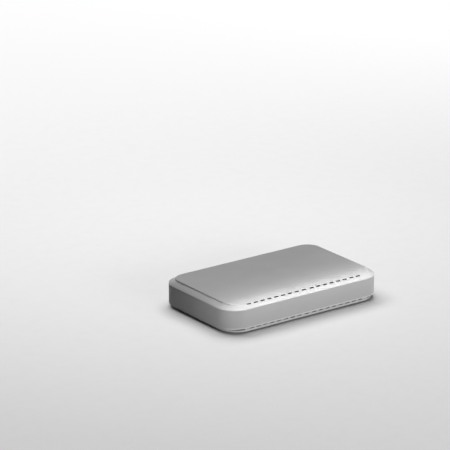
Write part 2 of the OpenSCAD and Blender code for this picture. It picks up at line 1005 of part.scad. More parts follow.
module reset_switch() {
    bore_end = panel_back - plunger_in - reset_travel - slide;
    color([0.14, 0.14, 0.15])
        difference() {
            chip([reset_x, panel_back - switch_back + reset_size[1] / 2], reset_size, board_top);
            rod_y(reset_x, reset_z, plunger_r + slide, bore_end, panel_back);
        }
}

module reset_plunger() {
    color([0.75, 0.16, 0.12])
        rod_y(reset_x, reset_z, plunger_r, panel_back - plunger_in, panel_back - plunger_out);
}

// Wi-Fi -------------------------------------------------------------------------------------------

module wifi_module() {
    color([0.07, 0.25, 0.38]) {
        chip(wifi_pos, wifi_size, board_top);
        for (s = [-1, 1]) {
            plug = wifi_pos + [s * wifi_plug[0], wifi_plug[1]];
            post(plug, wifi_plug_r, board_top, board_top + wifi_plug_h);
        }
    }
}

module wifi_shield() {
    color([0.78, 0.78, 0.80])
        chip(wifi_pos + [0, shield_offset], shield_size, board_top + wifi_size[2]);
}

module antenna(side) {
    inner = half_w - band_t;
    color([0.10, 0.12, 0.16])
        translate([side * (inner - antenna_size[0] / 2), 0, antenna_z]) cube(antenna_size, center = true);
}

module antenna_left() {
    antenna(-1);
}

module antenna_right() {
    antenna(1);
}

// Point at t, from 0 to 1, along the smooth curve between points i and i + 1 of a route
function curve_point(route, i, t) =
    let (
        last = len(route) - 1,
        p0 = route[max(i - 1, 0)],
        p1 = route[i],
        p2 = route[i + 1],
        p3 = route[min(i + 2, last)]
    )
    p1 + (p2 - p0) * t / 2 + (2 * p0 - 5 * p1 + 4 * p2 - p3) * t * t / 2
    + (3 * p1 - p0 - 3 * p2 + p3) * t * t * t / 2;

// Round lead along a smooth route, which starts upright, ends along X and never runs along Y
module lead(route) {
    steps = 6;
    sides = 8;
    path = concat(
        [for (i = [0:len(route) - 2], k = [0:steps - 1]) curve_point(route, i, k / steps)],
        [route[len(route) - 1]]
    );
    last = len(path) - 1;
    rings = [
        for (i = [0:last])
            let (
                end_ahead = i == 0 ? [0, 0, 1] : [sign(path[last][0]), 0, 0],
                ahead = i == 0 || i == last ? end_ahead : path[i + 1] - path[i - 1],
                side = cross(ahead, [0, 1, 0]) / norm(cross(ahead, [0, 1, 0])),
                up = cross(ahead, side) / norm(ahead)
            )
            for (k = [0:sides - 1])
                let (a = 360 * k / sides)
                path[i] + lead_r * (cos(a) * side + sin(a) * up)
    ];
    walls = [
        for (i = [0:last - 1], k = [0:sides - 1])
            let (next = (k + 1) % sides)
            [i * sides + k, i * sides + next, (i + 1) * sides + next, (i + 1) * sides + k]
    ];
    ends = [[for (k = [sides - 1:-1:0]) k], [for (k = [0:sides - 1]) last * sides + k]];
    polyhedron(rings, concat(walls, ends));
}

module antenna_leads() {
    start_z = board_top + wifi_plug_h;
    end_x = half_w - band_t - antenna_size[0];
    y = wifi_pos[1] + wifi_plug[1];
    left = wifi_pos[0] - wifi_plug[0];
    right = wifi_pos[0] + wifi_plug[0];
    color([0.05, 0.05, 0.05]) {
        lead([
            [left, y, start_z], [left, y, start_z + 1.5], [left - 2, y - 1, start_z + 3.5],
            [left - 12, y - 2, start_z + 4], [-106, -18, start_z + 4], [-118, -10.5, 16], [-end_x, -10, 16]
        ]);
        lead([
            [right, y, start_z], [right, y, start_z + 1.5], [right + 2, y - 1, start_z + 3.5],
            [right + 14, y - 6, start_z + 5], [20, -26, start_z + 5], [88, -26, start_z + 5],
            [106, -18, start_z + 4], [118, -10.5, 16], [end_x, -10, 16]
        ]);
    }
}

// Front board -------------------------------------------------------------------------------------

module front_board() {
    color([0.05, 0.32, 0.18])
        block(
            [-front_board_half, front_board_y, front_board_low],
            [front_board_half, front_board_y + front_board_t, front_board_top]
        );
}

module ir_receiver() {
    color([0.08, 0.07, 0.09]) {
        block(
            [-eye_half, front_board_y - eye_t, base_slot_z - eye_low],
            [eye_half, front_board_y, base_slot_z + eye_high]
        );
        rod_y(0, lens_z, lens_r, front_board_y - 2.6, front_board_y - 1);
    }
}

module status_led() {
    color([0.95, 0.95, 0.90])
        block([-led_half, front_board_y - guide_t, led_low], [led_half, front_board_y, led_low + led_h]);
}

module light_guide() {
    color([0.20, 0.21, 0.22]) {
        block(
            [-guide_foot_half, front_board_y - guide_t, guide_low],
            [guide_foot_half, front_board_y, guide_foot_top]
        );
        block(
            [-guide_half, slot_inset - half_d - guide_t / 2, guide_low],
            [guide_half, slot_inset - half_d + guide_t / 2, rim_z + guide_rise]
        );
    }
}

module ribbon_sockets() {
    color([0.86, 0.85, 0.80]) {
        block(
            [ribbon_x - ribbon_half - 1, front_board_y + front_board_t, ribbon_low - ribbon_plug_h],
            [ribbon_x + ribbon_half + 1, ribbon_front, ribbon_low + ribbon_plug_h]
        );
        block(
            [ribbon_x - ribbon_half - 1, ribbon_rear, board_top],
            [ribbon_x + ribbon_half + 1, ribbon_rear + ribbon_plug_d, board_top + ribbon_plug_h]
        );
    }
}

module ribbon_cable() {
    steps = 16;
    middle = [
        for (i = [0:steps])
            let (t = i / steps)
            [
                ribbon_front + (ribbon_rear - ribbon_front) * t,
                ribbon_low + (ribbon_high - ribbon_low) * (1 - cos(180 * t)) / 2
                    + ribbon_hump * (1 - cos(360 * t)) / 2
            ]
    ];
    top = [for (p = middle) p + [0, ribbon_t / 2]];
    bottom = [for (i = [steps:-1:0]) middle[i] - [0, ribbon_t / 2]];
    color([0.88, 0.88, 0.85])
        translate([ribbon_x - ribbon_half, 0, 0])
            rotate([90, 0, 90]) linear_extrude(2 * ribbon_half) polygon(concat(top, bottom));
}

top_cover();
side_band();
base_tray();
rubber_feet();
case_screws();
rear_panel();
main_board();
board_screws();
processor();
thermal_pad();
heat_sink();
heat_sink_pins();
memory_chips();
flash_chip();
power_chips();
inductors();
capacitors();
chip_parts();
crystal();
ethernet_magnetics();
ethernet_jack();
ethernet_contacts();
hdmi_shell();
hdmi_tongue();
usb_shells();
usb_tongues();
av_jack();
optical_jack();
optical_shutter();
dc_jack();
dc_jack_pin();
power_switch();
power_stem();
power_button();
reset_switch();
reset_plunger();
wifi_module();
wifi_shield();
antenna_left();
antenna_right();
antenna_leads();
front_board();
ir_receiver();
status_led();
light_guide();
ribbon_sockets();
ribbon_cable();
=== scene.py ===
"""Looks of the streaming media player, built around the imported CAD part."""

import json
import math

import bmesh
import bpy
from mathutils import Matrix, Vector


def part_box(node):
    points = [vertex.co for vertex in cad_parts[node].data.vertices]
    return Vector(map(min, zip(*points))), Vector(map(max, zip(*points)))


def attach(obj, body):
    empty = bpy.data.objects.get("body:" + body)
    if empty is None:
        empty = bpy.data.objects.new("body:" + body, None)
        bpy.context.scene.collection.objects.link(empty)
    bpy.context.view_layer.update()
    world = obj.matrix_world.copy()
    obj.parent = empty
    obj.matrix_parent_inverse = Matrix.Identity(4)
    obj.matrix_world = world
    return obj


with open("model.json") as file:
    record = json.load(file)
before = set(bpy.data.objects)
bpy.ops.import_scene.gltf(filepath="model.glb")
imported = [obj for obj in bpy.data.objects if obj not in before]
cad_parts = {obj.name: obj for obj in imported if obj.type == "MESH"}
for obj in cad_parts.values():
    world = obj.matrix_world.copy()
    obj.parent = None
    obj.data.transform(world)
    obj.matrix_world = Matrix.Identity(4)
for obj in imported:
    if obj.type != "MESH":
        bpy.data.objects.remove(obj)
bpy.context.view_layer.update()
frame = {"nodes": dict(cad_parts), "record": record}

NODES = frame["nodes"]
RECORD = frame["record"]

# Places on the casing that no node's box gives, in metres from the middle
SLOT_ROW_HALF = 0.098
GRILLE_HALF = 0.104
LABEL = (Vector((-0.0345, -0.0615)), Vector((0.0345, -0.0345)))
LABEL_RECESS = 0.0003


# Materials ----------------------------------------------------------------------------------------

class Finish:
    """One procedural material. Patterns follow the object's own coordinates, in metres."""

    def __init__(self, name, rough, metallic=0.0):
        self.name = name
        self.material = bpy.data.materials.new(name)
        self.material.use_nodes = True
        self.tree = self.material.node_tree
        self.shader = self.tree.nodes["Principled BSDF"]
        self.shader.inputs["Metallic"].default_value = metallic
        self.shader.inputs["Roughness"].default_value = rough
        self.place = self.tree.nodes.new("ShaderNodeTexCoord").outputs["Object"]
        self.colour = None
        self.height = None

    def link(self, source, target):
        self.tree.links.new(source, target)

    def scaled(self, stretch):
        """The object's coordinates, stretched along its axes."""
        node = self.tree.nodes.new("ShaderNodeMapping")
        node.inputs["Scale"].default_value = stretch
        self.link(self.place, node.inputs["Vector"])
        return node.outputs["Vector"]

    def noise(self, size, detail=2.0, stretch=(1, 1, 1)):
        """Noise from 0 to 1 with features of about that size, in metres."""
        node = self.tree.nodes.new("ShaderNodeTexNoise")
        node.inputs["Scale"].default_value = 1 / size
        node.inputs["Detail"].default_value = detail
        self.link(self.scaled(stretch), node.inputs["Vector"])
        return node.outputs["Fac"]

    def cells(self, size):
        """Distance to the middle of irregular cells of about that size."""
        node = self.tree.nodes.new("ShaderNodeTexVoronoi")
        node.inputs["Scale"].default_value = 1 / size
        self.link(self.place, node.inputs["Vector"])
        return node.outputs["Distance"]

    def ramp(self, value, low, high, start=0.0, end=1.0):
        """value from low to high becomes start to end."""
        node = self.tree.nodes.new("ShaderNodeMapRange")
        node.interpolation_type = "SMOOTHSTEP"
        node.inputs["From Min"].default_value = low
        node.inputs["From Max"].default_value = high
        node.inputs["To Min"].default_value = start
        node.inputs["To Max"].default_value = end
        self.link(value, node.inputs["Value"])
        return node.outputs["Result"]

    def math(self, operation, a, b):
        node = self.tree.nodes.new("ShaderNodeMath")
        node.operation = operation
        for socket, value in zip(node.inputs, (a, b)):
            if isinstance(value, (int, float)):
                socket.default_value = value
            else:
                self.link(value, socket)
        return node.outputs["Value"]

    def times(self, a, b):
        return self.math("MULTIPLY", a, b)

    def distance(self, value, middle):
        """How far a value is from the middle, on either side."""
        return self.math("ABSOLUTE", self.math("SUBTRACT", value, middle), 0.0)

    def axis(self, index):
        """One coordinate of the object, in metres."""
        node = self.tree.nodes.new("ShaderNodeSeparateXYZ")
        self.link(self.place, node.inputs["Vector"])
        return node.outputs[index]

    def band(self, index, middle, half, soft):
        """1 within half of the middle along an axis, fading out over soft."""
        return self.ramp(self.distance(self.axis(index), middle), half, half + soft, 1.0, 0.0)

    def lines(self, index, pitch, share):
        """1 on stripes across an axis, a pitch apart, that take up that share of it."""
        turn = self.math("FRACT", self.math("DIVIDE", self.axis(index), pitch), 0.0)
        return self.ramp(self.distance(turn, 0.5), share / 2, share / 2 + 0.06, 1.0, 0.0)

    def frame_line(self, low, high, inset, width):
        """1 on a rectangular line, inset from the corners low and high."""
        edges = []
        for axis in (0, 1):
            middle = (low[axis] + high[axis]) / 2
            half = (high[axis] - low[axis]) / 2 - inset
            edges.append(self.math("SUBTRACT", self.distance(self.axis(axis), middle), half))
        outside = self.math("MAXIMUM", edges[0], edges[1])
        return self.ramp(self.math("ABSOLUTE", outside, 0.0), width, width * 1.4, 1.0, 0.0)

    def paint(self, colour, share=None):
        """Lays a colour over what is there, by share. The first colour covers everything."""
        if self.colour is None:
            self.shader.inputs["Base Color"].default_value = (*colour, 1)
            self.colour = tuple(colour)
            return
        node = self.tree.nodes.new("ShaderNodeMix")
        node.data_type = "RGBA"
        base, over = node.inputs[6], node.inputs[7]
        if isinstance(self.colour, tuple):
            base.default_value = (*self.colour, 1)
        else:
            self.link(self.colour, base)
        over.default_value = (*colour, 1)
        self.link(share, node.inputs[0])
        self.colour = node.outputs[2]
        self.link(self.colour, self.shader.inputs["Base Color"])

    def bump(self, height, strength, distance):
        """Adds relief as high as the distance, in metres, and as strong as the strength."""
        node = self.tree.nodes.new("ShaderNodeBump")
        node.inputs["Strength"].default_value = strength
        node.inputs["Distance"].default_value = distance
        self.link(height, node.inputs["Height"])
        if self.height is not None:
            self.link(self.height, node.inputs["Normal"])
        self.height = node.outputs["Normal"]
        self.link(self.height, self.shader.inputs["Normal"])

    def roughness(self, value, low, high):
        """Lets the roughness follow a pattern, from low to high."""
        self.link(self.ramp(value, 0.3, 0.7, low, high), self.shader.inputs["Roughness"])


def shade(colour, factor, lift=0.0):
    """A lighter or darker colour."""
    return [min(1, c * factor + lift) for c in colour]


def moulded(name, colour, rough=0.42, grain=0.35):
    """Moulded plastic: spark-eroded grain, slow flow marks and a little handling wear."""
    f = Finish(name, rough)
    f.paint(colour)
    f.paint(shade(colour, 1.03), f.ramp(f.noise(0.045, 3), 0.45, 0.7))
    f.paint(shade(colour, 0.97), f.ramp(f.noise(0.012, 3), 0.5, 0.75, 0, 0.6))
    f.paint(shade(colour, 0.97), f.ramp(f.cells(0.0009), 0.25, 0.6, 0, 0.5))
    f.roughness(f.noise(0.03, 4), rough - 0.05, rough + 0.06)
    f.bump(f.noise(0.0006, 3), grain, 0.00012)
    return f


def metal(name, colour, rough, stretch=(1, 1, 1), streak=0.25):
    """Plated or drawn metal: streaks along its working direction, and a few dull spots."""
    f = Finish(name, rough, 1.0)
    f.paint(colour)
    f.paint(shade(colour, 0.82), f.ramp(f.noise(0.0012, 4, stretch), 0.4, 0.75, 0, 0.8))
    f.paint(shade(colour, 0.6), f.ramp(f.noise(0.006, 4), 0.62, 0.8, 0, 0.6))
    f.roughness(f.noise(0.0009, 3, stretch), rough - 0.06, rough + 0.12)
    f.bump(f.noise(0.0004, 2, stretch), streak, 0.00005)
    return f


def nylon(name, colour, rough=0.5, fibre=0.15):
    """Filled nylon: short glass fibres show as fine streaks, with darker rubbed patches."""
    f = Finish(name, rough)
    f.paint(colour)
    f.paint(shade(colour, 1 + fibre, 0.01), f.ramp(f.noise(0.0007, 3, (1, 4, 1)), 0.5, 0.75))
    f.paint(shade(colour, 1 - fibre), f.ramp(f.noise(0.004, 3), 0.5, 0.75, 0, 0.8))
    f.roughness(f.noise(0.002, 3), rough - 0.08, rough + 0.1)
    f.bump(f.noise(0.0003, 2, (1, 4, 1)), 0.3, 0.00005)
    return f


def rubber(name, colour, rough=0.8):
    """Soft moulded rubber: pores, a dusty bloom and a few scuffs."""
    f = Finish(name, rough)
    f.paint(colour)
    f.paint(shade(colour, 1.7, 0.012), f.ramp(f.noise(0.003, 4), 0.5, 0.8, 0, 0.7))
    f.paint(shade(colour, 0.6), f.ramp(f.cells(0.0008), 0.0, 0.35, 0.8, 0))
    f.roughness(f.noise(0.004, 3), rough - 0.1, rough + 0.08)
    f.bump(f.cells(0.0006), 0.5, 0.0001)
    return f


def ceramic(name, colour, speck):
    """Pressed or fired ceramic: fine specks and chalky patches."""
    f = Finish(name, 0.55)
    f.paint(colour)
    f.paint(speck, f.ramp(f.cells(0.0005), 0.5, 0.7, 0, 0.7))
    f.paint(shade(colour, 0.75), f.ramp(f.noise(0.003, 3), 0.5, 0.75, 0, 0.7))
    f.roughness(f.noise(0.002, 3), 0.45, 0.65)
    f.bump(f.noise(0.0004, 3), 0.35, 0.00006)
    return f


def circuit_board(name, mask, trace, copper):
    """Solder mask over copper: runs of traces in both directions, and plated holes."""
    pitches, hole_pitch = (0.0021, 0.0017), 0.0052
    f = Finish(name, 0.28)
    f.paint(mask)
    along_x = f.ramp(f.noise(0.011, 1, (0.25, 1, 1)), 0.5, 0.53)
    f.paint(trace, f.times(f.lines(0, pitches[0], 0.4), along_x))
    along_y = f.ramp(f.noise(0.013, 1, (1, 0.25, 1)), 0.52, 0.55)
    f.paint(trace, f.times(f.lines(1, pitches[1], 0.4), along_y))
    f.paint(shade(mask, 0.7), f.ramp(f.noise(0.03, 2), 0.5, 0.7, 0, 0.6))
    f.paint(copper, f.ramp(f.cells(hole_pitch), 0.09, 0.12, 1, 0))
    f.paint((0.02, 0.02, 0.02), f.ramp(f.cells(hole_pitch), 0.045, 0.06, 1, 0))
    f.roughness(f.noise(0.006, 3), 0.22, 0.36)
    for axis, pitch in enumerate(pitches):
        f.bump(f.lines(axis, pitch, 0.4), 0.25, 0.00004)
    return f


def lid():
    """The lid's plastic, with painted shade on the walls inside its vent slots."""
    f = moulded("lid_plastic", (0.80, 0.80, 0.805))
    # The slots' rims lie on the sloping shoulder, whose slope comes from the rims' own vertices
    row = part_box("light_guide")[0].y + 0.0006
    rims = [v.co for v in NODES["top_cover"].data.vertices if abs(v.co.y - row) < 0.0013]
    front = max((p for p in rims if p.y < row - 0.0008), key=lambda p: p.z)
    rear = max((p for p in rims if p.y > row + 0.0008), key=lambda p: p.z)
    slope = (rear.z - front.z) / (rear.y - front.y)
    surface = f.math("ADD", f.times(f.math("SUBTRACT", f.axis(1), front.y), slope), front.z)
    below = f.ramp(f.math("SUBTRACT", surface, f.axis(2)), 0.00006, 0.00018)
    inside = f.times(below, f.band(1, row, 0.00128, 0.00004))
    # Painted shade: the slot walls are painted near-black as shade, not as the plastic's colour.
    f.paint((0.02, 0.02, 0.021), f.times(inside, f.band(0, 0, SLOT_ROW_HALF, 0.0005)))
    return f


def side_wall():
    """The band's plastic, with a painted highlight in patches along its lower edge. The edge is
    higher in front.
    """
    f = moulded("band_plastic", (0.70, 0.70, 0.71))
    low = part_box("side_band")[0]
    front = f.ramp(f.axis(1), low.y + 0.008, low.y + 0.022, 1, 0)
    side_edge = f.ramp(f.axis(2), low.z + 0.0006, low.z + 0.0011, 1, 0)
    front_edge = f.ramp(f.axis(2), low.z + 0.0027, low.z + 0.0034, 1, 0)
    edge = f.math("MAXIMUM", side_edge, f.times(front, front_edge))
    # Painted highlight: the strip along the lower edge is painted near-white, in patches.
    f.paint((0.97, 0.97, 0.98), f.times(edge, f.ramp(f.noise(0.02, 3), 0.2, 0.6, 0.5, 1)))
    return f


def base_tray():
    """The base's plastic: a painted highlight along the lip in front, and painted shade in the gap
    round the corners.
    """
    f = moulded("base_plastic", (0.78, 0.78, 0.79), 0.5, 0.5)
    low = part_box("base_tray")[0]
    front = f.ramp(f.axis(1), low.y + 0.030, low.y + 0.033, 1, 0)
    lip = f.ramp(f.axis(2), low.z + 0.0028, low.z + 0.0029, 1, 0)
    above = f.ramp(f.axis(2), low.z + 0.0003, low.z + 0.0005)
    # Painted highlight: the lip in front is painted near-white.
    f.paint((0.95, 0.95, 0.96), f.times(front, f.times(above, lip)))
    side = f.ramp(f.distance(f.axis(0), 0.0), GRILLE_HALF + 0.0001, GRILLE_HALF + 0.0004)
    # Painted shade: the gap above the lip, beyond the grille round the corners, is painted
    # near-black.
    f.paint((0.06, 0.06, 0.062), f.times(front, f.times(side, f.ramp(lip, 0.4, 0.6, 1, 0))))
    return f


def jack_shield():
    """Tinned steel shield round the network socket, with the black moulding inside it."""
    f = metal("jack_shield", (0.60, 0.60, 0.62), 0.34, (0.3, 1, 1))
    openings = RECORD["physics"]["openings"]
    low, high = next(o for o in openings if o["name"] == "ethernet_socket")["box_m"]
    inside = f.ramp(f.axis(1), high[1] - 0.0004, high[1] - 0.0002, 1, 0)
    for axis in (0, 2):
        middle, half = (low[axis] + high[axis]) / 2, (high[axis] - low[axis]) / 2
        inside = f.times(inside, f.band(axis, middle, half + 0.0006, 0.0001))
    f.paint((0.022, 0.022, 0.024), inside)
    f.link(f.ramp(inside, 0.4, 0.6, 1, 0), f.shader.inputs["Metallic"])
    return f


def panel_paint():
    """Dark powder coat with its orange-peel skin and plug scratches round the sockets."""
    f = Finish("panel_paint", 0.5)
    f.paint((0.055, 0.056, 0.06))
    f.paint((0.085, 0.086, 0.09), f.ramp(f.cells(0.0012), 0.2, 0.7))
    f.paint((0.13, 0.13, 0.135), f.ramp(f.noise(0.0025, 5, (0.3, 1, 3)), 0.66, 0.72, 0, 0.7))
    f.roughness(f.noise(0.004, 3), 0.42, 0.6)
    f.bump(f.cells(0.0011), 0.5, 0.00012)
    return f


def heat_sink():
    """Black anodised extrusion, its die lines running along the fins."""
    f = metal("sink_anodised", (0.10, 0.10, 0.11), 0.38, (6, 0.2, 1), 0.5)
    f.paint((0.45, 0.45, 0.46), f.ramp(f.noise(0.002, 4, (5, 0.3, 1)), 0.72, 0.78, 0, 0.6))
    return f


def antenna():
    """Laminated film over a copper meander."""
    f = Finish("antenna_film", 0.3)
    f.paint((0.02, 0.024, 0.035))
    f.paint((0.30, 0.16, 0.07), f.times(f.lines(1, 0.004, 0.45), f.lines(2, 0.005, 0.7)))
    f.roughness(f.noise(0.004, 3), 0.22, 0.4)
    f.bump(f.lines(1, 0.004, 0.45), 0.4, 0.00005)
    return f


def ribbon():
    """Flat cable: conductors show through the film, with a blue stiffener at each end."""
    f = Finish("ribbon_white", 0.35)
    f.paint((0.74, 0.74, 0.70))
    f.paint((0.48, 0.45, 0.38), f.lines(0, 0.001, 0.55))
    low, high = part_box("ribbon_cable")
    from_middle = f.distance(f.axis(1), (low.y + high.y) / 2)
    half = (high.y - low.y) / 2
    f.paint((0.05, 0.16, 0.42), f.ramp(from_middle, half - 0.0036, half - 0.0034))
    f.roughness(f.noise(0.005, 3), 0.28, 0.42)
    f.bump(f.lines(0, 0.001, 0.55), 0.5, 0.00008)
    return f


def acrylic():
    """Smoked acrylic, frosted in patches: dark until the light behind it is on."""
    f = Finish("guide_clear", 0.2)
    f.shader.inputs["Transmission Weight"].default_value = 0.35
    f.shader.inputs["IOR"].default_value = 1.49
    f.paint((0.075, 0.08, 0.085))
    f.paint((0.045, 0.05, 0.055), f.ramp(f.noise(0.003, 3), 0.45, 0.7))
    f.roughness(f.noise(0.002, 4), 0.15, 0.4)
    f.bump(f.noise(0.0012, 3), 0.2, 0.00008)
    return f


def label():
    """Blank silver label with a printed border."""
    f = Finish("label_film", 0.35, 0.4)
    f.paint((0.62, 0.62, 0.63))
    f.paint((0.54, 0.54, 0.55), f.ramp(f.noise(0.0006, 3, (0.2, 3, 1)), 0.4, 0.7))
    f.paint((0.12, 0.12, 0.13), f.frame_line(*LABEL, 0.0022, 0.0003))
    f.roughness(f.noise(0.003, 3), 0.28, 0.45)
    f.bump(f.noise(0.002, 3), 0.1, 0.00005)
    return f


FINISHES = {f.name: f for f in (
    lid(),
    side_wall(),
    base_tray(),
    rubber("foot_rubber", (0.028, 0.028, 0.029)),
    metal("screw_steel", (0.55, 0.55, 0.57), 0.32),
    panel_paint(),
    circuit_board("board_green", (0.012, 0.105, 0.045), (0.03, 0.20, 0.09), (0.75, 0.62, 0.35)),
    nylon("chip_black", (0.022, 0.022, 0.024), 0.45, 0.3),
    rubber("pad_grey", (0.36, 0.40, 0.47), 0.7),
    heat_sink(),
    nylon("pin_nylon", (0.72, 0.69, 0.58)),
    ceramic("ferrite", (0.075, 0.075, 0.08), (0.16, 0.16, 0.16)),
    metal("can_aluminium", (0.68, 0.69, 0.72), 0.3, (1, 1, 0.2)),
    ceramic("chip_ceramic", (0.32, 0.24, 0.15), (0.5, 0.42, 0.3)),
    metal("can_steel", (0.60, 0.60, 0.62), 0.34, (0.3, 1, 1)),
    metal("contact_gold", (0.80, 0.58, 0.22), 0.25, (1, 0.2, 1)),
    metal("socket_nickel", (0.66, 0.66, 0.67), 0.22, (1, 0.2, 1)),
    nylon("socket_black", (0.020, 0.020, 0.022)),
    nylon("shutter_black", (0.040, 0.040, 0.044)),
    moulded("button_plastic", (0.60, 0.60, 0.61)),
    nylon("plunger_red", (0.45, 0.035, 0.025)),
    circuit_board("board_blue", (0.010, 0.05, 0.16), (0.02, 0.10, 0.28), (0.78, 0.62, 0.30)),
    antenna(),
    rubber("lead_black", (0.02, 0.02, 0.021), 0.6),
    nylon("receiver_dark", (0.020, 0.012, 0.018), 0.18, 0.4),
    nylon("led_white", (0.82, 0.82, 0.74), 0.3, 0.06),
    acrylic(),
    ribbon(),
    label(),
    jack_shield(),
)}
for part in RECORD["subparts"]:
    NODES[part["node"]].data.materials[0] = FINISHES[part["material_slot"]].material
NODES["ethernet_jack"].data.materials[0] = FINISHES["jack_shield"].material


# Detail pieces ------------------------------------------------------------------------------------

def piece(name, shape, finish, body="housing"):
    """A new piece from a bmesh, riding on a body."""
    bmesh.ops.recalc_face_normals(shape, faces=shape.faces)
    made = bpy.data.objects.new(name, bpy.data.meshes.new(name))
    shape.to_mesh(made.data)
    shape.free()
    made.data.materials.append(FINISHES[finish].material)
    bpy.context.scene.collection.objects.link(made)
    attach(made, body)


def loft(shape, rings):
    """Joins rings of points into a skin, with a cap on both ends."""
    made = [[shape.verts.new(p) for p in ring] for ring in rings]
    count = len(made[0])
    for one, two in zip(made, made[1:]):
        for i in range(count):
            j = (i + 1) % count
            shape.faces.new((one[i], one[j], two[j], two[i]))
    shape.faces.new(made[0][::-1])
    shape.faces.new(made[-1])


def spring_strip(shape, x, width, path, thickness):
    """A bent strip along a path of (y, z) points, narrower at its ends."""
    last = len(path) - 1
    rings = []
    for i, (y, z) in enumerate(path):
        before, after = path[max(i - 1, 0)], path[min(i + 1, last)]
        along = Vector((after[0] - before[0], after[1] - before[1])).normalized()
        off = Vector((-along.y, along.x)) * thickness / 2
        half = width / 2 * (0.7 if i in (0, last) else 1)
        rings.append([
            (x - half, y + off.x, z + off.y), (x + half, y + off.x, z + off.y),
            (x + half, y - off.x, z - off.y), (x - half, y - off.x, z - off.y),
        ])
    loft(shape, rings)


def wire_ring(x, y, z, dx, dy, dz):
    """Four points round a wire's middle."""
    return [(x - dx, y - dy, z), (x, y, z + dz), (x + dx, y + dy, z), (x, y, z - dz)]


def slot_shade_mesh():
    """A dark woven mesh behind the lid's slots, one length on each side of the light guide, that
    stands in for the shade inside the slots.
    """
    pitch, half_wire, wave = 0.0009, 0.00021, 0.0002
    half_depth, wires_across, inner_end = 0.0036, 9, 0.009
    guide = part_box("light_guide")
    row = (guide[0].y + guide[1].y) / 2
    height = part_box("side_band")[1].z + 0.0012
    across = [row - half_depth + pitch * i for i in range(wires_across)]
    for side, name in ((-1, "slot_shade_mesh_left"), (1, "slot_shade_mesh_right")):
        start, end = sorted((side * inner_end, side * SLOT_ROW_HALF))
        along = [start + pitch * i for i in range(int((end - start) / pitch) + 1)]
        shape = bmesh.new()
        for n, y in enumerate(across):
            loft(shape, [wire_ring(x, y, height + wave * (-1) ** (i + n), 0, half_wire, half_wire)
                         for i, x in enumerate(along)])
        for i, x in enumerate(along):
            loft(shape, [wire_ring(x, y, height - wave * (-1) ** (i + n), half_wire, 0, half_wire)
                         for n, y in enumerate(across)])
        # Black, so that the mesh stands in for the shade seen through the slots.
        piece(name, shape, "chip_black")


def usb_contacts():
    """Four spring contacts under each tongue."""
    tongue_width, pitch = 0.011, 0.0022
    low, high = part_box("usb_tongues")
    path = [
        (low.y + 0.0008, low.z), (low.y + 0.003, low.z - 0.00025),
        (high.y - 0.004, low.z - 0.0006), (high.y - 0.0026, low.z - 0.0008),
        (high.y - 0.0014, low.z - 0.0003), (high.y - 0.001, low.z),
    ]
    shape = bmesh.new()
    for middle in (low.x + tongue_width / 2, high.x - tongue_width / 2):
        for n in range(4):
            spring_strip(shape, middle + (n - 1.5) * pitch, 0.001, path, 0.0002)
    piece("usb_contacts", shape, "contact_gold")


def hdmi_contacts():
    """Nineteen contacts, ten above the tongue and nine below."""
    low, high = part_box("hdmi_tongue")
    shape = bmesh.new()
    for n in range(19):
        x = (low.x + high.x) / 2 + (n - 9) * 0.0005
        above = n % 2 == 0
        z = high.z + 0.00005 if above else low.z - 0.00005
        lift = 0.0001 if above else -0.0001
        path = [(low.y + 0.0006, z), (low.y + 0.003, z + lift),
                (high.y - 0.001, z + lift), (high.y - 0.0005, z)]
        spring_strip(shape, x, 0.00032, path, 0.00012)
    piece("hdmi_contacts", shape, "contact_gold")


def audio_bush():
    """Gold-plated bush in the mouth of the audio socket."""
    mount = next(m for m in RECORD["mounts"] if m["name"] == "audio_socket")
    x, z = mount["pos_m"][0], mount["pos_m"][2]
    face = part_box("av_jack")[1].y
    bore = 0.0018
    # Radius, and place in front of the jack's face
    outline = [
        (bore + 0.00002, -0.002), (bore + 0.00002, 0.0), (bore + 0.0002, 0.00025),
        (bore + 0.0007, 0.00025), (bore + 0.0009, 0.0001), (bore + 0.0009, 0.00002),
        (bore + 0.0003, 0.00002),
    ]
    turns = 48
    shape = bmesh.new()
    rings = []
    for i in range(turns):
        angle = math.tau * i / turns
        rings.append([
            shape.verts.new((x + r * math.cos(angle), face + out, z + r * math.sin(angle)))
            for r, out in outline
        ])
    for i in range(turns):
        one, two = rings[i], rings[(i + 1) % turns]
        for j in range(len(outline) - 1):
            shape.faces.new((one[j], one[j + 1], two[j + 1], two[j]))
    piece("audio_bush", shape, "contact_gold")


def inlet_spring():
    """Sleeve spring of the power inlet, bowed towards the plug."""
    low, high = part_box("dc_jack_pin")
    x, seat = (low.x + high.x) / 2, (low.z + high.z) / 2 - 0.0029
    path = [
        (low.y + 0.0004, seat), (low.y + 0.002, seat + 0.0002), (low.y + 0.004, seat + 0.0005),
        (low.y + 0.0055, seat + 0.0002), (low.y + 0.0065, seat),
    ]
    shape = bmesh.new()
    spring_strip(shape, x, 0.0016, path, 0.0002)
    piece("inlet_spring", shape, "socket_nickel")


def rounded(low, high, radius, steps=6):
    """Outline of a rectangle with round corners, in order."""
    points = []
    for cx, cy, start in (
        (high.x - radius, high.y - radius, 0), (low.x + radius, high.y - radius, 90),
        (low.x + radius, low.y + radius, 180), (high.x - radius, low.y + radius, 270),
    ):
        for i in range(steps + 1):
            angle = math.radians(start + 90 * i / steps)
            points.append((cx + radius * math.cos(angle), cy + radius * math.sin(angle)))
    return points


def base_label():
    """Blank label in the recess of the underside."""
    outline = rounded(*LABEL, 0.002)
    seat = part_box("base_tray")[0].z + LABEL_RECESS
    middle = (LABEL[0] + LABEL[1]) / 2
    shape = bmesh.new()
    loft(shape, [
        [
            (middle.x + (x - middle.x) * share, middle.y + (y - middle.y) * share, z)
            for x, y in outline
        ]
        for share, z in ((1, seat), (1, seat - 0.00012), (0.996, seat - 0.00015))
    ])
    piece("base_label", shape, "label_film")


